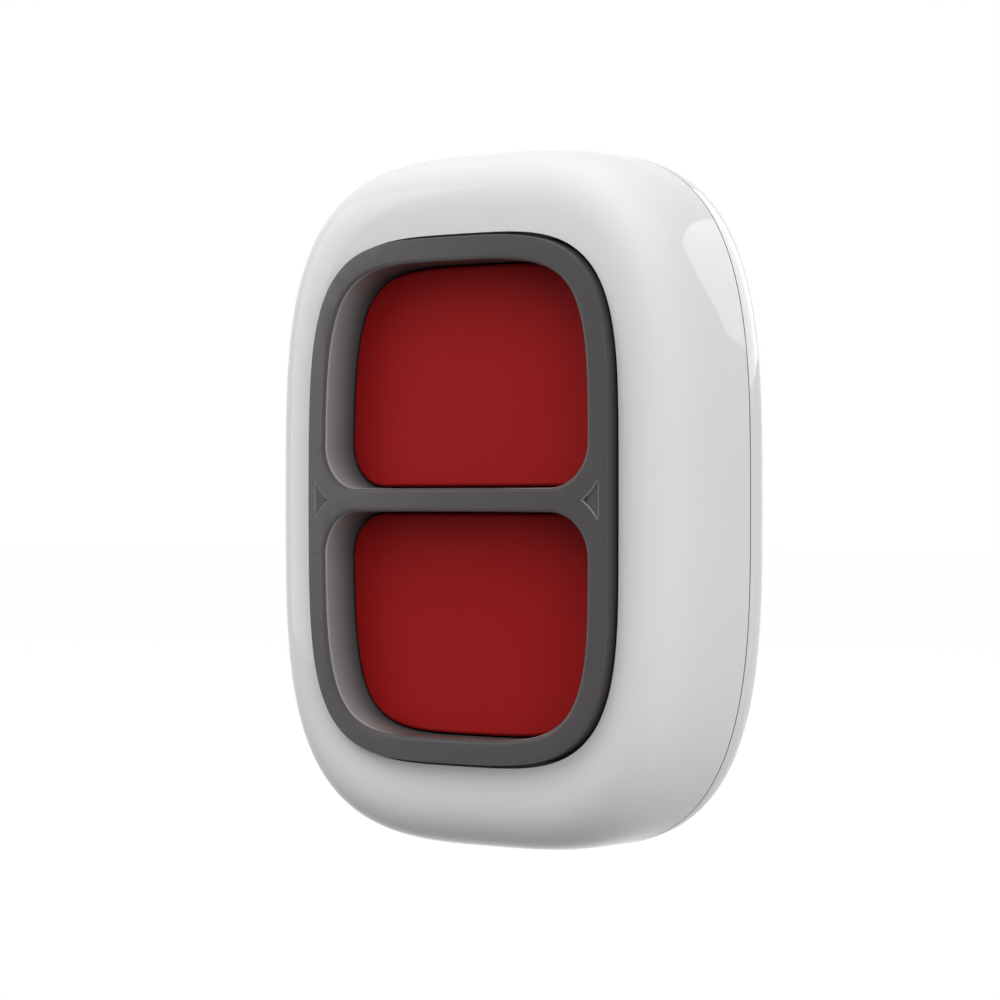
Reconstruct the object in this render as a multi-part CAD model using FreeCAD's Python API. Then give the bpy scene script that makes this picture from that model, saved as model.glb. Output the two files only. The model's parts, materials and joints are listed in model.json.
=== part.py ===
import FreeCAD, Part
import math
import os

# Wireless panic button: two sprung red buttons in a dark double-window bezel, in a white pebble housing.
# Millimetres. X points right, Z up, and the front faces -Y. The flat back lies on Y = 0,
# and the origin is the middle of the back. A depth is a distance from the back towards the front.

# Housing outline: |x / half width| ^ side power + |z / half height| ^ end power = 1
body_width = 35.0
body_height = 47.0
body_side_power = 3.47
body_end_power = 3.2
parting_depth = 6.0
parting_groove_width = 0.1
parting_groove_depth = 0.12
lip_depth = 14.5
shoulder_side_power = 3.15
shoulder_front_power = 5.0
back_inset_z = 5.0
wall = 1.6
floor_thickness = 1.5

# Bezel. The face of the housing beside it and above it sets its size, and its crown stands out from the lip.
face_beside_bezel = 4.7
face_above_bezel = 6.0
bezel_side_power = 3.85
bezel_end_power = 4.52
bezel_rise = 1.5
bezel_radius_across = 135.0
bezel_radius_along = 400.0
bezel_gap = 0.25
lip_land = 0.1
outer_rounding = 0.12
band_width = 1.35
window_rounding = 0.3
divider_width = 0.98
window_corner_radius = 3.0
retaining_flange_reach = 1.0
retaining_flange_thickness = 1.0
retaining_flange_root = 0.7
seal_thickness = 0.4
seal_width = 0.8

# Light recesses at the ends of the divider, measured from the bezel's side and from its crown
recess_half_height = 1.22
recess_outer_margin = 0.65
recess_well_margin = 1.65
recess_outer_depth = 0.62
recess_well_depth = 0.78

# Button caps
cap_gap = 0.12
cap_recess = 2.85
cap_rounding = 0.25
cap_flange_reach = 0.45
cap_flange_thickness = 0.9
cap_rear_clearance = 0.25
cap_wall = 0.9
cap_roof = 1.75
cap_rib_thickness = 0.8
button_travel = 0.5
post_radius = 3.0

# Silicone membrane and the frame under it
stack_inset = 0.3
membrane_thickness = 0.8
membrane_pad_radius = 3.6
membrane_pad_height = 0.4
membrane_nub_radius = 1.1
membrane_nub_height = 0.2
frame_height = 2.4
frame_wall = 2.1
frame_bar_height = 5.0
frame_corner_radius = 1.5
pin_radius = 0.6
pin_z = 8.0
pin_clearance = 0.05

# Circuit board
board_thickness = 1.0
board_clearance = 0.45

# Push switches. Their domes are as high as the buttons travel.
switch_side = 6.0
switch_height = 1.5
switch_corner = 0.5
switch_cavity_radius = 2.3
switch_floor_thickness = 0.65
dome_radius = 2.1
dome_thickness = 0.12
plunger_radius = 1.2
plunger_flange_radius = 1.7
plunger_flange_thickness = 0.15
plunger_clearance = 0.1
switch_cover_thickness = 0.15

# Coin cell, its holder and its contacts
cell_radius = 10.0
cell_height = 3.2
cell_can_height = 2.6
cell_cap_radius = 8.9
cell_z = -5.5
cell_floor_clearance = 0.05
cell_back_overhang = 0.5
holder_base = 0.45
holder_gap = 0.1
holder_wall = 0.9
holder_rim_height = 2.4
holder_notch_width = 5.0
contact_thickness = 0.2
contact_width = 4.0
contact_tongue = 4.5
contact_foot = 2.0
contact_hole_radius = 4.6
contact_relief = 0.2
contact_relief_depth = 0.1
spring_thickness = 0.15
spring_width = 2.4
spring_half_length = 3.9
spring_half_top = 1.3

# Rear cover. Its flat back is a little narrower than the cell, and its upper posts stand beside the can.
lip_clearance = 0.05
lip_thickness = 0.9
lip_height = 1.3
lip_root = 2.6
gasket_height = 0.8
gasket_reach = 0.45
latch_width = 5.0
latch_height = 2.2
latch_hook_reach = 0.45
latch_hook_height = 0.8
latch_clearance = 0.15
latch_z = 9.0
cover_post_radius = 1.3
cover_post_clearance = 0.6
cover_post_upper_drop = 10.0
cover_post_lower_inset = 10.0
cover_post_lower_rise = 5.7
pry_notch_width = 8.0
pry_notch_height = 0.6
pry_notch_depth = 1.0

# Strap bar in a pocket at the top of the rear cover
strap_bar_radius = 0.7
strap_bar_depth = 1.3
strap_bar_drop = 3.7
strap_pocket_width = 5.4
strap_pocket_height = 3.8
strap_pocket_depth = 3.6
strap_pocket_wall = 0.7

# Light guides and indicator lamps
guide_radius = 0.6
guide_clearance = 0.05
guide_inset = 2.2
guide_cover = 1.4
collar_radius = 1.0
collar_height = 0.8
lamp_width = 0.9
lamp_length = 1.6
lamp_height = 0.6
lamp_clearance = 0.2

# Parts on the board
can_width = 10.0
can_length = 8.0
can_height = 1.8
can_sheet = 0.2
can_corner = 0.6
can_place = (-3.6, 11.4)
radio_side = 4.0
radio_height = 0.85
radio_offset = -1.8
crystal_width = 2.5
crystal_length = 3.2
crystal_height = 0.7
crystal_offset = 2.4
controller_side = 5.0
controller_height = 0.9
controller_place = (6.2, 10.6)
antenna_span = 15.0
antenna_height = 3.0
antenna_sheet = 0.3
antenna_edge = 1.3
antenna_strip = 0.6
passive_length = 1.6
passive_width = 0.8
passive_height = 0.6
passive_pitch = 2.4
capacitor_row = (3.4, 15.4)
resistor_row = (-8.2, 16.2)
passives_in_row = 3

# Worked out from the sizes above, across the housing
body_half_w = body_width / 2
body_half_h = body_height / 2
flat_half_w = cell_radius - cell_back_overhang
flat_half_h = body_half_h - back_inset_z
bezel_half_w = body_half_w - face_beside_bezel
bezel_half_h = body_half_h - face_above_bezel
window_inset = band_width + window_rounding
window_edge_z = divider_width / 2 + window_rounding
button_height_z = (window_edge_z + bezel_half_h - window_inset) / 2
cap_inset = window_inset + cap_gap
cap_edge_z = window_edge_z + cap_gap
cap_corner_radius = window_corner_radius - cap_gap
flange_inset = cap_inset - cap_flange_reach
flange_edge_z = cap_edge_z - cap_flange_reach
flange_corner_radius = cap_corner_radius + cap_flange_reach
seat_reach = bezel_gap + retaining_flange_reach
lip_inset = wall + lip_clearance
board_inset = lip_inset + lip_thickness + board_clearance
pin_x = bezel_half_w - stack_inset - frame_wall / 2
guide_x = bezel_half_w - guide_inset
strap_bar_z = body_half_h - strap_bar_drop
antenna_z = body_half_h - board_inset - antenna_edge
contact_reach = cell_radius + holder_gap + contact_thickness
post_upper_x = can_width / 2 - can_place[0] + cover_post_clearance + cover_post_radius
post_upper_z = body_half_h - cover_post_upper_drop
post_lower_x = body_half_w - cover_post_lower_inset
post_lower_z = cover_post_lower_rise - body_half_h

# Worked out from the back to the front
cell_rear_depth = floor_thickness + cell_floor_clearance + contact_thickness
cell_front_depth = cell_rear_depth + cell_height
board_rear_depth = cell_front_depth + holder_base
board_front_depth = board_rear_depth + board_thickness
switch_top_depth = board_front_depth + switch_height
membrane_rear_depth = board_front_depth + frame_height
plunger_end_depth = membrane_rear_depth - membrane_nub_height
bezel_rear_depth = membrane_rear_depth + membrane_thickness
post_end_depth = bezel_rear_depth + membrane_pad_height
flange_rear_depth = bezel_rear_depth + button_travel + cap_rear_clearance
shoulder_depth = flange_rear_depth + cap_flange_thickness
seat_depth = lip_depth - wall
bezel_crown_depth = lip_depth + bezel_rise
cap_crown_depth = bezel_crown_depth - cap_recess
cap_roof_depth = cap_crown_depth - cap_roof
guide_end_depth = bezel_crown_depth - guide_cover
lip_front_depth = parting_depth + lip_height
gasket_rear_depth = parting_depth + (lip_height - gasket_height) / 2
gasket_front_depth = gasket_rear_depth + gasket_height

outline_points = 48
overshoot = 30.0
past = 1.0
back_to_front = FreeCAD.Vector(0, -1, 0)


# Outlines and basic solids
def point(x, depth, z):
    return FreeCAD.Vector(x, -depth, z)


def outline_point(angle, half_w, half_h, side_power, end_power, inset):
    across = math.cos(angle)
    along = math.sin(angle)
    reach = 1.5
    for step in range(14):
        side_term = abs(reach * across) ** side_power
        end_term = abs(reach * along) ** end_power
        slope = (side_power * side_term + end_power * end_term) / reach
        reach -= (side_term + end_term - 1) / slope
    x = half_w * reach * across
    z = half_h * reach * along
    normal_x = math.copysign(abs(x / half_w) ** (side_power - 1) * side_power / half_w, x)
    normal_z = math.copysign(abs(z / half_h) ** (end_power - 1) * end_power / half_h, z)
    length = math.hypot(normal_x, normal_z)
    return x - inset * normal_x / length, z - inset * normal_z / length


def outline_wire(shape, depth, inset=0.0):
    half_w, half_h, side_power, end_power = shape
    points = []
    for index in range(outline_points):
        angle = 2 * math.pi * index / outline_points
        x, z = outline_point(angle, half_w, half_h, side_power, end_power, inset)
        points.append(point(x, depth, z))
    curve = Part.BSplineCurve()
    curve.interpolate(Points=points, PeriodicFlag=True)
    return Part.Wire([curve.toShape()])


def prism(shape, inset, rear, front):
    return Part.Face(outline_wire(shape, rear, inset)).extrude(back_to_front * (front - rear))


def ring(shape, outer_inset, inner_inset, rear, front):
    outer = prism(shape, outer_inset, rear, front)
    return outer.cut(prism(shape, inner_inset, rear - past, front + past))


def box(x_low, x_high, rear, front, z_low, z_high):
    corner = point(x_low, front, z_low)
    return Part.makeBox(x_high - x_low, front - rear, z_high - z_low, corner)


def disc(radius, rear, front, x=0.0, z=0.0):
    return Part.makeCylinder(radius, front - rear, point(x, rear, z), back_to_front)


def rounded_block(width, length, rear, front, x, z, radius):
    block = box(x - width / 2, x + width / 2, rear, front, z - length / 2, z + length / 2)
    upright = [edge for edge in block.Edges if abs(abs(edge.tangentAt(edge.FirstParameter).y) - 1) < 1e-6]
    return block.makeFillet(radius, upright)


def crown(depth):
    # The space behind a face that bulges gently both ways, its highest point at the given depth
    half_span = body_half_w
    sag = bezel_radius_across - math.sqrt(bezel_radius_across ** 2 - half_span ** 2)
    left = point(-half_span, depth - sag, 0)
    right = point(half_span, depth - sag, 0)
    face_arc = Part.Arc(left, point(0, depth, 0), right).toShape()
    rear_right = point(half_span, 0, 0)
    rear_left = point(-half_span, 0, 0)
    corners = [right, rear_right, rear_left, left]
    sides = [Part.makeLine(start, end) for start, end in zip(corners, corners[1:])]
    section = Part.Face(Part.Wire([face_arc] + sides))
    pivot = point(0, depth - bezel_radius_along, 0)
    swing = math.degrees(math.asin(body_half_h / (bezel_radius_along - depth)))
    across = FreeCAD.Vector(1, 0, 0)
    section.rotate(pivot, across, -swing)
    return section.revolve(pivot, across, 2 * swing)


def mirrored(solid):
    # The lower copy of something that belongs to the upper button
    return solid.mirror(FreeCAD.Vector(0, 0, 0), FreeCAD.Vector(0, 0, 1))


def other_side(solid):
    return solid.mirror(FreeCAD.Vector(0, 0, 0), FreeCAD.Vector(1, 0, 0))


def upper_window(inset, edge_z, corner_radius, rear, front):
    # The upper half of the bezel outline above edge_z, its two corners beside the divider rounded
    half = box(-overshoot, overshoot, rear - past, front + past, edge_z, overshoot)
    window = prism(bezel, inset, rear, front).common(half)
    corners = []
    for edge in window.Edges:
        ends = [vertex.Point for vertex in edge.Vertexes]
        at_divider = all(abs(end.z - edge_z) < 1e-4 for end in ends)
        if len(ends) == 2 and at_divider and abs(ends[0].x - ends[1].x) < 1e-4:
            corners.append(edge)
    return window.makeFillet(corner_radius, corners)


def strip(path, thickness, width, centre_z):
    # Bent sheet: the path runs along one face, in X and depth, and the sheet lies to its left
    shifted = []
    for index in range(len(path)):
        before = path[max(index - 1, 0)]
        here = path[index]
        after = path[min(index + 1, len(path) - 1)]
        turn = []
        for start, end in ((before, here), (here, after)):
            length = math.hypot(end[0] - start[0], end[1] - start[1])
            if length > 0:
                turn.append((-(end[1] - start[1]) / length, (end[0] - start[0]) / length))
        first = turn[0]
        last = turn[-1]
        scale = thickness / (1 + first[0] * last[0] + first[1] * last[1])
        shifted.append((here[0] + scale * (first[0] + last[0]), here[1] + scale * (first[1] + last[1])))
    corners = [point(x, depth, centre_z - width / 2) for x, depth in path + shifted[::-1]]
    face = Part.Face(Part.makePolygon(corners + corners[:1]))
    return face.extrude(FreeCAD.Vector(0, 0, width))


body = (body_half_w, body_half_h, body_side_power, body_end_power)
bezel = (bezel_half_w, bezel_half_h, bezel_side_power, bezel_end_power)


# Housing
def shoulder_loft(skin, front_depth):
    # From the parting line to the bezel opening. The inner skin lies inside the outer one by the wall.
    sections = []
    for degrees in (0, 2, 8, 18, 32, 48, 64, 78, 90):
        angle = math.radians(degrees)
        out = abs(round(math.cos(angle), 12)) ** (2 / shoulder_side_power)
        forward = math.sin(angle) ** (2 / shoulder_front_power)
        shape = [near + (far - near) * out for near, far in zip(bezel, body)]
        depth = parting_depth + (front_depth - parting_depth) * forward
        inset = skin * out - (bezel_gap + lip_land) * (1 - out)
        sections.append(outline_wire(shape, depth, inset))
    return Part.makeLoft(sections, True, False)


def parting_groove():
    # The fine line round the sides where the two halves of the housing meet
    half = parting_groove_width / 2
    return ring(body, -past, parting_groove_depth, parting_depth - half, parting_depth + half)


def latch_boxes(margin, rear, front):
    half = latch_width / 2 + margin
    return [box(side[0], side[1], rear, front, z - half, z + half)
            for side in ((-overshoot, 0), (0, overshoot)) for z in (-latch_z, latch_z)]


def hook_ring(clearance):
    front = lip_front_depth + latch_height
    rear = front - latch_hook_height
    inner = lip_inset + 0.5 * lip_thickness
    return ring(body, wall - latch_hook_reach - clearance, inner, rear - clearance, front + clearance)


def front_housing():
    shell = shoulder_loft(0.0, lip_depth).cut(shoulder_loft(wall, seat_depth))
    opening = prism(bezel, -bezel_gap, parting_depth, lip_depth + past)
    seat = prism(bezel, -seat_reach, parting_depth, seat_depth)
    shell = shell.cut(opening).cut(seat)
    pockets = hook_ring(latch_clearance)
    for pocket_box in latch_boxes(latch_clearance, parting_depth, lip_depth):
        shell = shell.cut(pockets.common(pocket_box))
    return shell.cut(parting_groove())


# Rear cover
def cover_loft(skin, rear_depth):
    sections = []
    for degrees in (0, 15, 30, 45, 60, 75, 90):
        angle = math.radians(degrees)
        out = round(math.cos(angle), 12)
        half_w = flat_half_w + (body_half_w - flat_half_w) * out
        half_h = flat_half_h + (body_half_h - flat_half_h) * out
        depth = parting_depth - (parting_depth - rear_depth) * math.sin(angle)
        shape = (half_w, half_h, body_side_power, body_end_power)
        sections.append(outline_wire(shape, depth, skin * out))
    return Part.makeLoft(sections, True, False)


def strap_pocket(margin, depth):
    half = strap_pocket_width / 2 + margin
    half_height = strap_pocket_height / 2 + margin
    return box(-half, half, -past, depth + margin, strap_bar_z - half_height, strap_bar_z + half_height)


def rear_cover():
    outer = cover_loft(0.0, 0.0)
    cover = outer.cut(cover_loft(wall, floor_thickness))
    lip_rear = parting_depth - lip_root
    lip = ring(body, lip_inset, lip_inset + lip_thickness, lip_rear, lip_front_depth)
    cover = cover.fuse(lip)
    latch_front = lip_front_depth + latch_height
    arms = ring(body, lip_inset, lip_inset + lip_thickness, lip_front_depth, latch_front)
    hooks = hook_ring(0.0)
    for latch_box in latch_boxes(0.0, lip_front_depth, latch_front):
        cover = cover.fuse(arms.common(latch_box)).fuse(hooks.common(latch_box))
    for x, z in ((post_upper_x, post_upper_z), (post_lower_x, post_lower_z)):
        for side in (-1, 1):
            post = disc(cover_post_radius, floor_thickness / 2, board_rear_depth, side * x, z)
            cover = cover.fuse(post)
    relief_half = contact_width / 2 + contact_relief
    relief = box(cell_radius - contact_tongue, contact_reach + contact_relief,
                 floor_thickness - contact_relief_depth, board_rear_depth, cell_z - relief_half,
                 cell_z + relief_half)
    cover = cover.cut(relief)
    pocket_shell = strap_pocket(strap_pocket_wall, strap_pocket_depth).common(outer)
    cover = cover.fuse(pocket_shell).cut(strap_pocket(0.0, strap_pocket_depth))
    bar_half = strap_pocket_width / 2 + strap_pocket_wall / 2
    bar_end = point(-bar_half, strap_bar_depth, strap_bar_z)
    bar = Part.makeCylinder(strap_bar_radius, 2 * bar_half, bar_end, FreeCAD.Vector(1, 0, 0))
    cover = cover.fuse(bar)
    notch = box(-pry_notch_width / 2, pry_notch_width / 2, parting_depth - pry_notch_height,
                parting_depth + past, -body_half_h - past, -body_half_h + pry_notch_depth)
    return cover.cut(cover_gasket()).cut(parting_groove()).cut(notch)


def cover_gasket():
    return ring(body, wall, lip_inset + gasket_reach, gasket_rear_depth, gasket_front_depth)


# Bezel
def window_front_edges(solid):
    # The edges where the windows meet the bulging front face
    inner_w = bezel_half_w - band_width / 2
    inner_h = bezel_half_h - band_width / 2
    found = []
    for edge in solid.Edges:
        middle = edge.valueAt((edge.FirstParameter + edge.LastParameter) / 2)
        points = [vertex.Point for vertex in edge.Vertexes] + [middle]
        inside = all(abs(p.x / inner_w) ** bezel_side_power + abs(p.z / inner_h) ** bezel_end_power < 1
                     for p in points)
        if inside and all(-p.y > lip_depth for p in points):
            found.append(edge)
    return found


def light_recess(margin, drop):
    # Between the rims of the two windows, at the right end of the divider
    reach = bezel_half_w - margin
    floor = bezel_crown_depth - drop
    corner_x = bezel_half_w - window_inset - window_corner_radius
    corner_z = window_edge_z + window_corner_radius
    rim_radius = window_corner_radius + window_rounding + band_width
    recess = box(corner_x, reach, floor, bezel_crown_depth + past, -recess_half_height, recess_half_height)
    for z in (-corner_z, corner_z):
        recess = recess.cut(disc(rim_radius, floor - past, bezel_crown_depth + 2 * past, corner_x, z))
    return max(recess.Solids, key=lambda solid: solid.CenterOfMass.x)


def bezel_frame():
    block = prism(bezel, 0.0, bezel_rear_depth, bezel_crown_depth + past).common(crown(bezel_crown_depth))
    front_edges = [edge for edge in block.Edges if all(-v.Point.y > lip_depth for v in edge.Vertexes)]
    block = block.makeFillet(outer_rounding, front_edges)
    window = upper_window(window_inset, window_edge_z, window_corner_radius, shoulder_depth - past,
                          bezel_crown_depth + past)
    frame = block.cut(window).cut(mirrored(window))
    frame = frame.makeFillet(window_rounding, window_front_edges(frame))
    pocket = upper_window(flange_inset - cap_gap, flange_edge_z - cap_gap, flange_corner_radius + cap_gap,
                          bezel_rear_depth - past, shoulder_depth)
    frame = frame.cut(pocket).cut(mirrored(pocket))
    flange_front = seat_depth - seal_thickness
    flange = ring(bezel, cap_gap - seat_reach, retaining_flange_root,
                  flange_front - retaining_flange_thickness, flange_front)
    frame = frame.fuse(flange)
    for margin, drop in ((recess_outer_margin, recess_outer_depth), (recess_well_margin, recess_well_depth)):
        recess = light_recess(margin, drop)
        frame = frame.cut(recess).cut(other_side(recess))
    for side in (-1, 1):
        radius = guide_radius + guide_clearance
        end = guide_end_depth + guide_clearance
        frame = frame.cut(disc(radius, bezel_rear_depth - past, end, side * guide_x))
    return frame


def bezel_seal():
    rear = seat_depth - seal_thickness
    return ring(bezel, cap_gap - seat_reach, seal_width - seat_reach, rear, seat_depth)


# Buttons
def upper_button_cap():
    face = upper_window(cap_inset, cap_edge_z, cap_corner_radius, flange_rear_depth, bezel_crown_depth)
    face = face.common(crown(cap_crown_depth))
    front_edges = []
    for edge in face.Edges:
        if all(-vertex.Point.y > shoulder_depth for vertex in edge.Vertexes):
            front_edges.append(edge)
    face = face.makeFillet(cap_rounding, front_edges)
    flange = upper_window(flange_inset, flange_edge_z, flange_corner_radius, flange_rear_depth,
                          shoulder_depth)
    hollow = upper_window(cap_inset + cap_wall, cap_edge_z + cap_wall, cap_corner_radius - cap_wall,
                          flange_rear_depth - past, cap_roof_depth)
    cap = face.fuse(flange).cut(hollow)
    half_rib = cap_rib_thickness / 2
    ribs = box(-overshoot, overshoot, flange_rear_depth, cap_roof_depth, button_height_z - half_rib,
               button_height_z + half_rib)
    ribs = ribs.fuse(box(-half_rib, half_rib, flange_rear_depth, cap_roof_depth, -overshoot, overshoot))
    sunk = cap_wall / 2
    reach = upper_window(cap_inset + sunk, cap_edge_z + sunk, cap_corner_radius - sunk, flange_rear_depth,
                         cap_roof_depth)
    post = disc(post_radius, post_end_depth, cap_roof_depth + sunk, 0, button_height_z)
    return cap.fuse(ribs.common(reach)).fuse(post).removeSplitter()


def button_membrane():
    sheet = prism(bezel, stack_inset, membrane_rear_depth, bezel_rear_depth)
    for z in (button_height_z, -button_height_z):
        sheet = sheet.fuse(disc(membrane_pad_radius, bezel_rear_depth, post_end_depth, 0, z))
        sheet = sheet.fuse(disc(membrane_nub_radius, plunger_end_depth, membrane_rear_depth, 0, z))
    for side in (-1, 1):
        sheet = sheet.cut(disc(guide_radius + guide_clearance, 0, bezel_crown_depth, side * guide_x))
    return sheet


def inner_frame():
    frame = prism(bezel, stack_inset, board_front_depth, membrane_rear_depth)
    window = upper_window(stack_inset + frame_wall, frame_bar_height / 2, frame_corner_radius,
                          board_front_depth - past, membrane_rear_depth + past)
    frame = frame.cut(window).cut(mirrored(window))
    for side in (-1, 1):
        half_w = lamp_width / 2 + lamp_clearance
        half_l = lamp_length / 2 + lamp_clearance
        lamp_room = box(side * guide_x - half_w, side * guide_x + half_w, board_front_depth - past,
                        board_front_depth + lamp_height + lamp_clearance, -half_l, half_l)
        above = membrane_rear_depth + past
        shaft = disc(guide_radius + guide_clearance, board_front_depth, above, side * guide_x)
        collar = disc(collar_radius + guide_clearance, membrane_rear_depth - collar_height, above,
                      side * guide_x)
        pin = disc(pin_radius, board_rear_depth, board_front_depth, side * pin_x, side * pin_z)
        frame = frame.cut(lamp_room).cut(shaft).cut(collar).fuse(pin)
    return frame


def light_guide(side):
    lamp_top = board_front_depth + lamp_height
    stem = disc(guide_radius, lamp_top + guide_clearance, guide_end_depth, side * guide_x)
    collar = disc(collar_radius, membrane_rear_depth - collar_height, membrane_rear_depth, side * guide_x)
    return stem.fuse(collar)


# Board and what it carries
def circuit_board():
    board = prism(body, board_inset, board_rear_depth, board_front_depth)
    for side in (-1, 1):
        board = board.cut(disc(pin_radius + pin_clearance, 0, bezel_rear_depth, side * pin_x, side * pin_z))
    return board


def on_front(width, length, height, x, z):
    return box(x - width / 2, x + width / 2, board_front_depth, board_front_depth + height,
               z - length / 2, z + length / 2)


def on_rear(width, length, height, x, z):
    return box(x - width / 2, x + width / 2, board_rear_depth - height, board_rear_depth,
               z - length / 2, z + length / 2)


def switch_body():
    case = rounded_block(switch_side, switch_side, board_front_depth, switch_top_depth, 0, button_height_z,
                         switch_corner)
    cavity_floor = board_front_depth + switch_floor_thickness
    cavity = disc(switch_cavity_radius, cavity_floor, switch_top_depth + past, 0, button_height_z)
    return case.cut(cavity)


def switch_dome():
    # A snap dome: a thin cap of a sphere that stands on the cavity's floor
    base = board_front_depth + switch_floor_thickness
    outer_radius = (dome_radius ** 2 + button_travel ** 2) / (2 * button_travel)
    centre = point(0, base + button_travel - outer_radius, button_height_z)
    dome = Part.makeSphere(outer_radius, centre).cut(Part.makeSphere(outer_radius - dome_thickness, centre))
    return dome.common(disc(dome_radius, base, switch_top_depth, 0, button_height_z))


def switch_plunger():
    base = board_front_depth + switch_floor_thickness + button_travel
    flange = disc(plunger_flange_radius, base, base + plunger_flange_thickness, 0, button_height_z)
    return flange.fuse(disc(plunger_radius, base, plunger_end_depth, 0, button_height_z))


def switch_cover():
    front = switch_top_depth + switch_cover_thickness
    plate = rounded_block(switch_side, switch_side, switch_top_depth, front, 0, button_height_z,
                          switch_corner)
    hole = disc(plunger_radius + plunger_clearance, board_front_depth, bezel_rear_depth, 0, button_height_z)
    return plate.cut(hole)


def coin_cell():
    can = disc(cell_radius, cell_rear_depth, cell_rear_depth + cell_can_height, 0, cell_z)
    cap = disc(cell_cap_radius, cell_rear_depth, cell_front_depth, 0, cell_z)
    return can.fuse(cap)


def cell_holder():
    outer = cell_radius + holder_gap + holder_wall
    cup = disc(outer, cell_front_depth - holder_rim_height, board_rear_depth, 0, cell_z)
    cup = cup.cut(disc(cell_radius + holder_gap, 0, cell_front_depth, 0, cell_z))
    cup = cup.cut(disc(contact_hole_radius, 0, bezel_rear_depth, 0, cell_z))
    half_notch = holder_notch_width / 2
    cup = cup.cut(box(cell_radius - holder_gap, overshoot, 0, board_rear_depth, cell_z - half_notch,
                      cell_z + half_notch))
    return cup.cut(box(-half_notch, half_notch, 0, cell_front_depth, cell_z - overshoot, cell_z))


def positive_contact():
    inner = cell_radius + holder_gap
    path = [(inner + contact_foot, board_rear_depth), (inner, board_rear_depth), (inner, cell_rear_depth),
            (inner - contact_tongue, cell_rear_depth)]
    return strip(path, contact_thickness, contact_width, cell_z)


def negative_contact():
    top = cell_front_depth + spring_thickness
    slope_end = (spring_half_length + spring_half_top) / 2
    right = [(spring_half_length, board_rear_depth), (slope_end, board_rear_depth), (spring_half_top, top)]
    left = [(-x, depth) for x, depth in right[::-1]]
    return strip(right + left, spring_thickness, spring_width, cell_z)


def shield_can():
    x, z = can_place
    rear = board_rear_depth - can_height
    can = rounded_block(can_width, can_length, rear, board_rear_depth, x, z, can_corner)
    inner_corner = can_corner - can_sheet
    room = rounded_block(can_width - 2 * can_sheet, can_length - 2 * can_sheet, rear + can_sheet,
                         board_rear_depth + past, x, z, inner_corner)
    return can.cut(room)


def antenna():
    half = antenna_span / 2
    front = board_front_depth + antenna_height
    path = [(-half, board_front_depth), (-half, front), (half, front), (half, board_front_depth)]
    return strip(path, antenna_sheet, antenna_strip, antenna_z)


os.makedirs("parts", exist_ok=True)


def save(name, solid):
    solid.exportStep("parts/" + name + ".step")
    print(name, "solids", len(solid.Solids), "valid", solid.isValid(), "volume", round(solid.Volume, 2))


save("front_housing", front_housing())
save("rear_cover", rear_cover())
save("cover_gasket", cover_gasket())
save("bezel_frame", bezel_frame())
save("bezel_seal", bezel_seal())
save("button_membrane", button_membrane())
save("inner_frame", inner_frame())
save("circuit_board", circuit_board())

upper_pieces = {
    "button_cap": upper_button_cap(),
    "switch_body": switch_body(),
    "switch_dome": switch_dome(),
    "switch_plunger": switch_plunger(),
    "switch_cover": switch_cover(),
}
for name, solid in upper_pieces.items():
    save("upper_" + name, solid)
    save("lower_" + name, mirrored(solid))

for name, side in (("left", -1), ("right", 1)):
    save(name + "_light_guide", light_guide(side))
    save(name + "_indicator_lamp", on_front(lamp_width, lamp_length, lamp_height, side * guide_x, 0))

save("coin_cell", coin_cell())
save("cell_holder", cell_holder())
save("positive_contact", positive_contact())
save("negative_contact", negative_contact())
save("shield_can", shield_can())
can_x, can_z = can_place
save("radio_chip", on_rear(radio_side, radio_side, radio_height, can_x + radio_offset, can_z))
save("crystal", on_rear(crystal_width, crystal_length, crystal_height, can_x + crystal_offset, can_z))
save("controller_chip", on_rear(controller_side, controller_side, controller_height, *controller_place))
save("antenna", antenna())
for kind, row in (("capacitor", capacitor_row), ("resistor", resistor_row)):
    for index in range(passives_in_row):
        x = row[0] + passive_pitch * index
        save(kind + "_" + str(index + 1), on_rear(passive_width, passive_length, passive_height, x, row[1]))
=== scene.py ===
# Wireless panic button: the finish of every piece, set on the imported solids. Metres.
import json
import math

import bmesh
import bpy
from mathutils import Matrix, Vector

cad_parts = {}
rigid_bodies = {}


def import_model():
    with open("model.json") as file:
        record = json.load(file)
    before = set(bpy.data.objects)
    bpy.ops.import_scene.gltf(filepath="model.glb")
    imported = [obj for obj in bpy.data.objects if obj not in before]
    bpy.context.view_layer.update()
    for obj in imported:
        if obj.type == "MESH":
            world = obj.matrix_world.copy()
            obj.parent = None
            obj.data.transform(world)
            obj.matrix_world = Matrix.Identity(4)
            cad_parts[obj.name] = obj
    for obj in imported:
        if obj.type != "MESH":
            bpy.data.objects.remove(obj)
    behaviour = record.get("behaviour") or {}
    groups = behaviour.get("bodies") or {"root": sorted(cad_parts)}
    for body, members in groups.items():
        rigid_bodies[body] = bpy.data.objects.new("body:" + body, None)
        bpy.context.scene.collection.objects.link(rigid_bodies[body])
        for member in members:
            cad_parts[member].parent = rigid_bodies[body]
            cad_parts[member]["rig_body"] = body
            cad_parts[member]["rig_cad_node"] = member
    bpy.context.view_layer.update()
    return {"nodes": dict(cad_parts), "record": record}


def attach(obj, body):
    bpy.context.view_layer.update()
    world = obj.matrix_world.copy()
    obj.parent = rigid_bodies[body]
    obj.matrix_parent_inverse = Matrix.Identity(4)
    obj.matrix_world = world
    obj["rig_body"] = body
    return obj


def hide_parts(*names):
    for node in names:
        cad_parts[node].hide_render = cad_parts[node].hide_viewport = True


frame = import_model()
nodes = frame["nodes"]
mm = 0.001


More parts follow.
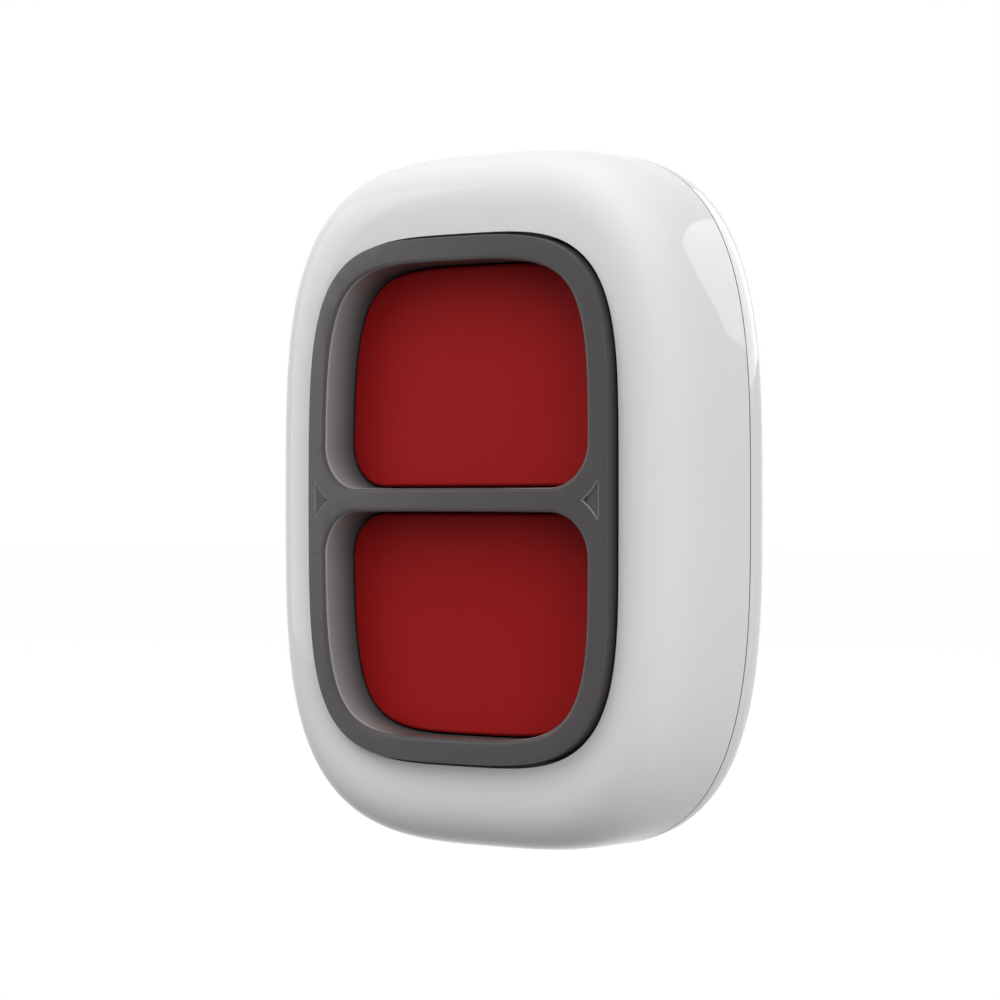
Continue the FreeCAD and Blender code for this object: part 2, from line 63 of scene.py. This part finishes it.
def colour(red, green, blue):  # display values 0..255 to the linear ones that nodes take, by the sRGB curve
    linear = []
    for value in (red, green, blue):
        share = value / 255
        linear.append(share / 12.92 if share <= 0.04045 else ((share + 0.055) / 1.055) ** 2.4)
    return (*linear, 1.0)


class Wire:  # a shader socket that takes part in sums: each operator adds its Math node
    def __init__(self, paint, socket):
        self.paint = paint
        self.socket = socket

    def maths(self, operation, first, second=0.0):
        return self.paint.node("ShaderNodeMath", {"operation": operation}, {0: first, 1: second})

    def __add__(self, other):
        return self.maths("ADD", self, other)

    def __radd__(self, other):
        return self.maths("ADD", other, self)

    def __sub__(self, other):
        return self.maths("SUBTRACT", self, other)

    def __rsub__(self, other):
        return self.maths("SUBTRACT", other, self)

    def __mul__(self, other):
        return self.maths("MULTIPLY", self, other)

    def __rmul__(self, other):
        return self.maths("MULTIPLY", other, self)

    def __truediv__(self, other):
        return self.maths("DIVIDE", self, other)

    def __pow__(self, other):
        return self.maths("POWER", self, other)

    def __gt__(self, other):
        return self.maths("GREATER_THAN", self, other)

    def __lt__(self, other):
        return self.maths("LESS_THAN", self, other)

    def __abs__(self):
        return self.maths("ABSOLUTE", self)

    def atLeast(self, low):
        return self.maths("MAXIMUM", self, low)

    def atMost(self, high):
        return self.maths("MINIMUM", self, high)


class Paint:  # the nodes of one material or of the world
    def __init__(self, name, kind=bpy.data.materials):
        self.material = kind.new(name)
        self.material.use_nodes = True
        self.tree = self.material.node_tree
        self.tree.nodes.clear()

    def node(self, kind, settings, sockets, out=0):
        made = self.tree.nodes.new(kind)
        for key, value in settings.items():
            setattr(made, key, value)
        for key, value in sockets.items():
            if isinstance(value, Wire):
                self.tree.links.new(value.socket, made.inputs[key])
            else:
                made.inputs[key].default_value = value
        return Wire(self, made.outputs[out]) if made.outputs else None

    def place(self):
        return self.node("ShaderNodeTexCoord", {}, {}, "Object")

    def axes(self, names):
        place = self.place()
        return [self.node("ShaderNodeSeparateXYZ", {}, {0: place}, name) for name in names]

    def noise(self, size, detail, roughness=0.5, stretch=None):
        place = self.place()
        if stretch:
            place = self.node("ShaderNodeVectorMath", {"operation": "MULTIPLY"}, {0: place, 1: stretch})
        sockets = {"Vector": place, "Scale": 1 / size, "Detail": detail, "Roughness": roughness}
        return self.node("ShaderNodeTexNoise", {}, sockets)

    def spread(self, value, low, high):  # 0..1 laid out between two numbers
        return self.node("ShaderNodeMapRange", {}, {"Value": value, "To Min": low, "To Max": high})

    def ramp(self, value, start, end):  # 0 at the start to 1 at the end
        return self.node("ShaderNodeMapRange", {}, {"Value": value, "From Min": start, "From Max": end})

    def blend(self, factor, first, second):  # a Mix node's colours are sockets 6 and 7, and its output 2
        return self.node("ShaderNodeMix", {"data_type": "RGBA"}, {0: factor, 6: first, 7: second}, 2)

    def bump(self, height, depth):
        return self.node("ShaderNodeBump", {}, {"Strength": 1.0, "Distance": depth, "Height": height})

    def clouded(self, settings):  # a colour that drifts slowly to a second shade and back
        cloud = self.noise(settings["drift"], detail=2)
        return self.blend(cloud, colour(*settings["colour"]), colour(*settings["shade"]))

    def grained(self, settings, detail=3, roughness=0.5):  # one fine grain in both the sheen and the relief
        grain = self.noise(settings["grain"], detail, roughness, settings.get("stretch"))
        return {"Roughness": self.spread(grain, *settings["rough"]),
                "Normal": self.bump(grain, settings["grainDepth"])}

    def finish(self, sockets):
        surface = self.node("ShaderNodeBsdfPrincipled", {}, sockets)
        self.node("ShaderNodeOutputMaterial", {}, {"Surface": surface})
        return self.material


housingFinish = {
    "colour": (223, 224, 224), "shade": (219, 220, 220), "drift": 9 * mm, "rough": (0.5, 0.6),
    "grain": 0.16 * mm, "grainDepth": 0.0002 * mm, "coat": 1.0, "coatRough": 0.02,
    # the seam colour is painted shade in the groove between the two halves
    "seamShade": (150, 152, 152), "seamPlace": 6 * mm, "seamShadeHalf": 0.055 * mm,
}


def housingWhite(name, settings):  # matt white under clear gloss, with painted shade in the line between the halves
    paint = Paint(name)
    depth = -1 * paint.axes("Y")[0]
    # a darker band painted along the seam between the halves: painted shade in the groove
    seamShade = abs(depth - settings["seamPlace"]) < settings["seamShadeHalf"]
    return paint.finish({
        "Base Color": paint.blend(seamShade, paint.clouded(settings), colour(*settings["seamShade"])),
        "Specular IOR Level": 0.0,
        "Coat Weight": settings["coat"],
        "Coat Roughness": settings["coatRough"],
        **paint.grained(settings, detail=2),
    })


bezelFinish = {  # smoked plastic, with painted light and shade on its window walls and painted highlights on its recess edges
    "colour": (62, 57, 59), "shade": (57, 53, 55), "drift": 5 * mm,
    "rough": (0.3, 0.38), "grain": 0.09 * mm, "grainDepth": 0.0006 * mm, "gloss": 0.5,
    # the arched front, its outline and the share of it that the windows lie in
    "crown": 16.0 * mm, "across": 135 * mm, "along": 400 * mm,
    "half": (12.8 * mm, 17.5 * mm), "powers": (3.85, 4.52), "inner": 0.93,
    # the walls of the windows, with painted light and shade: lit colours at the rim and shaded ones deep down,
    # at the sides and at the ends
    "sideRimLight": (136, 138, 138), "sideDeepShade": (74, 76, 76),
    "endRimShade": (70, 78, 78), "endDeepShade": (62, 70, 70),
    "sideFrom": 4.0 * mm, "sideTo": 7.5 * mm, "rounding": 0.14 * mm, "drop": 2.6 * mm,
    # the recesses at the ends of the divider, with painted highlights along their edges: two arcs and an
    # upright line
    "recess": (10.7 * mm, 1.25 * mm), "edge": (132, 129, 130), "edgeCentre": (8.15 * mm, 3.79 * mm),
    "edgeRadius": 4.65 * mm, "edgeHalf": 0.035 * mm, "uprightHighlight": (12.11 * mm, 0.05 * mm),
}


def paintedWallLight(paint, settings, x, below):  # painted light and shade: palest at the sides and near the rim, darker deep down and at the ends
    depthShade = paint.ramp(below, settings["rounding"], settings["drop"])
    side = paint.ramp(abs(x), settings["sideFrom"], settings["sideTo"])
    sideLightTone = paint.blend(depthShade, colour(*settings["sideRimLight"]), colour(*settings["sideDeepShade"]))
    endShadeTone = paint.blend(depthShade, colour(*settings["endRimShade"]), colour(*settings["endDeepShade"]))
    return paint.blend(side, endShadeTone, sideLightTone)


# painted highlights along the recess edges: two arcs and an upright line
def paintedEdgeHighlights(settings, x, z):
    centreAside, centreApart = settings["edgeCentre"]
    uprightPlace, uprightHalf = settings["uprightHighlight"]
    aside = abs(x) - centreAside
    apart = abs(z) - centreApart
    away = (aside * aside + apart * apart) ** 0.5
    arcHighlights = abs(away - settings["edgeRadius"]) < settings["edgeHalf"]
    uprightHighlight = abs(abs(x) - uprightPlace) < uprightHalf
    return arcHighlights + uprightHighlight


def smokedGrey(name, settings):
    paint = Paint(name)
    x, y, z = paint.axes("XYZ")
    halfWidth, halfHeight = settings["half"]
    acrossPower, alongPower = settings["powers"]
    beside, above = settings["recess"]
    reach = abs(x / halfWidth) ** acrossPower + abs(z / halfHeight) ** alongPower
    sag = x * x / (2 * settings["across"]) + z * z / (2 * settings["along"])
    below = settings["crown"] - sag + y  # how far a point lies under the crown
    recess = (abs(x) > beside) * (abs(z) < above)
    # the window walls, which take the painted light and shade
    paintedWallMask = (reach < settings["inner"]) * (below > settings["rounding"]) * (1 - recess)
    # painted highlights on the recess edges, in the pale edge colour
    edges = paintedEdgeHighlights(settings, x, z) * recess
    front = paint.blend(edges, paint.clouded(settings), colour(*settings["edge"]))
    return paint.finish({
        "Base Color": paint.blend(paintedWallMask, front, paintedWallLight(paint, settings, x, below)),
        "Specular IOR Level": settings["gloss"],
        **paint.grained(settings),
    })


buttonFinish = {"colour": (158, 25, 26), "shade": (151, 23, 24), "drift": 4 * mm, "rough": (0.52, 0.62),
                "grain": 0.07 * mm, "grainDepth": 0.003 * mm, "gloss": 0.08}
siliconeFinish = {"colour": (122, 124, 126), "shade": (112, 115, 118), "drift": 2 * mm, "rough": (0.62, 0.78),
                  "grain": 0.05 * mm, "grainDepth": 0.004 * mm, "gloss": 0.25}
frameFinish = {"colour": (34, 34, 36), "shade": (28, 28, 30), "drift": 3 * mm, "rough": (0.4, 0.55),
               "grain": 0.12 * mm, "grainDepth": 0.005 * mm, "gloss": 0.4}
chipFinish = {"colour": (30, 30, 32), "shade": (22, 22, 24), "drift": 0.8 * mm, "rough": (0.45, 0.7),
              "grain": 0.03 * mm, "grainDepth": 0.003 * mm, "gloss": 0.4}
ceramicFinish = {"colour": (176, 146, 108), "shade": (160, 130, 94), "drift": 0.5 * mm, "rough": (0.35, 0.55),
                 "grain": 0.04 * mm, "grainDepth": 0.002 * mm, "gloss": 0.5}


def moulded(name, settings):  # opaque plastic, rubber or ceramic
    paint = Paint(name)
    return paint.finish({
        "Base Color": paint.clouded(settings),
        "Specular IOR Level": settings["gloss"],
        **paint.grained(settings),
    })


sheetFinish = {"colour": (196, 198, 200), "shade": (172, 175, 178), "drift": 3 * mm, "rough": (0.22, 0.42),
               "stretch": (1, 1, 14), "grain": 0.5 * mm, "grainDepth": 0.003 * mm}
cellFinish = {"colour": (214, 214, 212), "shade": (190, 191, 190), "drift": 4.2 * mm, "rough": (0.14, 0.3),
              "stretch": (10, 1, 1), "grain": 0.7 * mm, "grainDepth": 0.002 * mm}
brassFinish = {"colour": (226, 196, 122), "shade": (198, 164, 92), "drift": 2.4 * mm, "rough": (0.2, 0.4),
               "stretch": (1, 1, 10), "grain": 0.4 * mm, "grainDepth": 0.002 * mm}


def brushed(name, settings):  # rolled metal, its grain drawn out into fine lines
    paint = Paint(name)
    return paint.finish({
        "Base Color": paint.clouded(settings),
        "Metallic": 1.0,
        **paint.grained(settings, detail=4, roughness=0.6),
    })


boardFinish = {
    "colour": (20, 78, 48), "shade": (15, 66, 40), "drift": 2.4 * mm, "rough": (0.22, 0.36), "grain": 0.3 * mm,
    "trace": (46, 116, 74), "length": 4.2 * mm, "pitch": 0.62 * mm, "line": 0.16 * mm, "lineSoft": 0.2,
    "stagger": 0.5, "lift": 0.02 * mm,
    "pad": (178, 176, 168), "padApart": 2.4 * mm, "padReach": 0.12, "padMetal": 0.8,
}


def boardGreen(name, settings):  # solder mask over copper lines, with tinned holes between them
    paint = Paint(name)
    x, z = paint.axes("XZ")
    flat = paint.node("ShaderNodeCombineXYZ", {}, {0: x, 1: z})
    lines = paint.node("ShaderNodeTexBrick", {"offset": settings["stagger"]}, {
        "Vector": flat, "Scale": 1.0, "Mortar Size": settings["line"], "Mortar Smooth": settings["lineSoft"],
        "Brick Width": settings["length"], "Row Height": settings["pitch"],
    }, 1)
    nearest = paint.node("ShaderNodeTexVoronoi", {"voronoi_dimensions": "2D"}, {
        "Vector": flat, "Scale": 1 / settings["padApart"],
    })
    pads = nearest < settings["padReach"]
    traced = paint.blend(lines, paint.clouded(settings), colour(*settings["trace"]))
    return paint.finish({
        "Base Color": paint.blend(pads, traced, colour(*settings["pad"])),
        "Metallic": pads * settings["padMetal"],
        "Roughness": paint.spread(paint.noise(settings["grain"], detail=3), *settings["rough"]),
        "Normal": paint.bump(lines + pads, settings["lift"]),
    })


guideFinish = {"colour": (244, 246, 248), "shade": (228, 233, 238), "drift": 0.6 * mm, "rough": (0.04, 0.16),
               "grain": 0.2 * mm, "grainDepth": 0.001 * mm, "clear": 0.9, "ior": 1.49}


def clearPlastic(name, settings):
    paint = Paint(name)
    return paint.finish({
        "Base Color": paint.clouded(settings),
        "Transmission Weight": settings["clear"],
        "IOR": settings["ior"],
        **paint.grained(settings),
    })


lampFinish = {
    "case": (236, 234, 226), "rough": (0.3, 0.5), "grain": 0.05 * mm, "grainDepth": 0.002 * mm,
    "lens": (226, 200, 92), "place": 10.6 * mm, "lensRadius": 0.32 * mm,
    "solder": (170, 172, 174), "solderFrom": 0.58 * mm, "solderMetal": 0.9,
}


def lampWhite(name, settings):  # a white case with a yellow lens in the middle and solder at both ends
    paint = Paint(name)
    x, z = paint.axes("XZ")
    aside = abs(x) - settings["place"]
    lens = aside * aside + z * z < settings["lensRadius"] ** 2
    solder = abs(z) > settings["solderFrom"]
    case = paint.blend(lens, colour(*settings["case"]), colour(*settings["lens"]))
    return paint.finish({
        "Base Color": paint.blend(solder, case, colour(*settings["solder"])),
        "Metallic": solder * settings["solderMetal"],
        **paint.grained(settings),
    })


paints = {
    "housing_white": housingWhite("housingWhite", housingFinish),
    "bezel_grey": smokedGrey("bezelGrey", bezelFinish),
    "button_red": moulded("buttonRed", buttonFinish),
    "silicone_grey": moulded("siliconeGrey", siliconeFinish),
    "frame_black": moulded("frameBlack", frameFinish),
    "board_green": boardGreen("boardGreen", boardFinish),
    "chip_black": moulded("chipBlack", chipFinish),
    "switch_steel": brushed("switchSteel", sheetFinish),
    "cell_steel": brushed("cellSteel", cellFinish),
    "contact_brass": brushed("contactBrass", brassFinish),
    "guide_clear": clearPlastic("guideClear", guideFinish),
    "lamp_white": lampWhite("lampWhite", lampFinish),
    "ceramic_tan": moulded("ceramicTan", ceramicFinish),
}
print("materials made:", len(paints))

shown = ("housing_white", "bezel_grey", "button_red")  # the finishes of the pieces that are seen from outside
weld = {"distance": 0.0002 * mm, "sharp": math.radians(28)}


def welded(name, material):  # the node's solid as one closed mesh with even shading
    copy = nodes[name].copy()
    copy.data = nodes[name].data.copy()
    copy.name = name + "_finished"
    bpy.context.scene.collection.objects.link(copy)
    copy.parent = None
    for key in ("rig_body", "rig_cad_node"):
        del copy[key]
    mesh = bmesh.new()
    mesh.from_mesh(copy.data)
    bmesh.ops.remove_doubles(mesh, verts=mesh.verts, dist=weld["distance"])
    for edge in mesh.edges:
        if len(edge.link_faces) != 2 or edge.calc_face_angle(0) > weld["sharp"]:
            edge.smooth = False
    for face in mesh.faces:
        face.smooth = True
    mesh.to_mesh(copy.data)
    mesh.free()
    copy.data.materials.clear()
    copy.data.materials.append(material)
    even = copy.modifiers.new("even", "WEIGHTED_NORMAL")
    even.mode = "FACE_AREA_WITH_ANGLE"
    even.keep_sharp = True
    return copy


pieceBody = {}
for body, members in frame["record"]["behaviour"]["bodies"].items():
    for member in members:
        pieceBody[member] = body

for row in frame["record"]["subparts"]:
    node = row["node"]
    slot = row["material_slot"]
    if slot in shown:
        finished = welded(node, paints[slot])
        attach(finished, pieceBody[node])
        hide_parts(node)
    else:
        for holder in nodes[node].material_slots:
            holder.material = paints[slot]
print("pieces finished")

studio = {"floor": -40 * mm, "floorSize": 4.0, "floorGrey": 0.16, "floorLift": 0.84}


def seenRays(paint):  # one for what the camera sees, also in gloss and through clear pieces
    camera, gloss, clear = [paint.node("ShaderNodeLightPath", {}, {}, "Is " + kind + " Ray")
                            for kind in ("Camera", "Glossy", "Transmission")]
    return (camera + gloss + clear).atMost(1.0)


def makeFloor():
    data = bpy.data.meshes.new("floor")
    half = studio["floorSize"] / 2
    corners = [(-half, -half), (half, -half), (half, half), (-half, half)]
    data.from_pydata([(x, y, studio["floor"]) for x, y in corners], [], [(0, 1, 2, 3)])
    floor = bpy.data.objects.new("floor", data)
    bpy.context.scene.collection.objects.link(floor)
    paint = Paint("floorPale")
    grey = studio["floorGrey"]
    pale = paint.node("ShaderNodeBsdfDiffuse", {}, {"Color": (grey, grey, grey, 1)})
    lift = paint.node("ShaderNodeEmission", {}, {"Strength": seenRays(paint) * studio["floorLift"]})
    surface = paint.node("ShaderNodeAddShader", {}, {0: pale, 1: lift})
    paint.node("ShaderNodeOutputMaterial", {}, {"Surface": surface})
    data.materials.append(paint.material)


def bearing(azimuth, elevation):  # degrees: azimuth from the front towards the right, then up
    side = math.radians(azimuth)
    rise = math.radians(elevation)
    return Vector((math.sin(side) * math.cos(rise), -math.cos(side) * math.cos(rise), math.sin(rise)))


softLights = {  # broad light from the walls and ceiling: azimuth, elevation, tightness, brightness
    "ceiling": (0, 58, 10, 1.8),
    "leftCeiling": (-60, 55, 12, 4.4),
    "rightWall": (72, 5, 14, 7.8),
    "rightFront": (45, 8, 14, 1.3),
    "leftFront": (-40, 10, 10, 0.5),
}


def makeWorld():
    paint = Paint("studioSky", bpy.data.worlds)
    bpy.context.scene.world = paint.material
    ahead = paint.node("ShaderNodeTexCoord", {}, {}, "Generated")
    level = 0.0
    for azimuth, elevation, tightness, brightness in softLights.values():
        towards = {0: ahead, 1: bearing(azimuth, elevation)}
        facing = paint.node("ShaderNodeVectorMath", {"operation": "DOT_PRODUCT"}, towards, "Value")
        level = facing.atLeast(0.0) ** tightness * brightness + level
    strength = level + seenRays(paint) * (1 - level)  # plain white wherever the background itself is seen
    sky = paint.node("ShaderNodeBackground", {}, {"Color": (1, 1, 1, 1), "Strength": strength})
    paint.node("ShaderNodeOutputWorld", {}, {"Surface": sky})


lamps = {  # azimuth from the front towards the right, elevation, distance; width and height; brightness
    "side": {"at": (-60, 5, 0.5), "size": (0.3, 0.5), "level": 1.1},
    "back": {"at": (168, 20.5, 0.5), "size": (0.42, 0.26), "level": 1.4},  # mirrored in the right side
}


def makeLamp(name, settings):
    azimuth, elevation, distance = settings["at"]
    width, height = settings["size"]
    data = bpy.data.lights.new(name, "AREA")
    data.shape = "RECTANGLE"
    data.size = width
    data.size_y = height
    data.energy = settings["level"] * math.pi * width * height  # its face is then as bright as the level says
    lamp = bpy.data.objects.new(name, data)
    bpy.context.scene.collection.objects.link(lamp)
    lamp.location = bearing(azimuth, elevation) * distance
    lamp.rotation_euler = (-lamp.location).to_track_quat("-Z", "Y").to_euler()


makeFloor()
makeWorld()
for name, settings in lamps.items():
    makeLamp(name, settings)
print("studio lit")

view = {"azimuth": math.radians(38.31), "distance": 235.48 * mm, "aside": -6.371 * mm, "lens": 121.09,
        "sensor": 36.0}


def makeCamera():
    data = bpy.data.cameras.new("camera")
    data.lens = view["lens"]
    data.sensor_width = view["sensor"]
    camera = bpy.data.objects.new("camera", data)
    bpy.context.scene.collection.objects.link(camera)
    right = Vector((math.cos(view["azimuth"]), math.sin(view["azimuth"]), 0))
    ahead = Vector((-math.sin(view["azimuth"]), math.cos(view["azimuth"]), 0))
    camera.location = right * view["aside"] - ahead * view["distance"]
    camera.rotation_euler = ahead.to_track_quat("-Z", "Y").to_euler()
    bpy.context.scene.camera = camera


makeCamera()
bpy.context.scene.view_settings.view_transform = "Standard"
print("camera set")

bpy.context.view_layer.update()
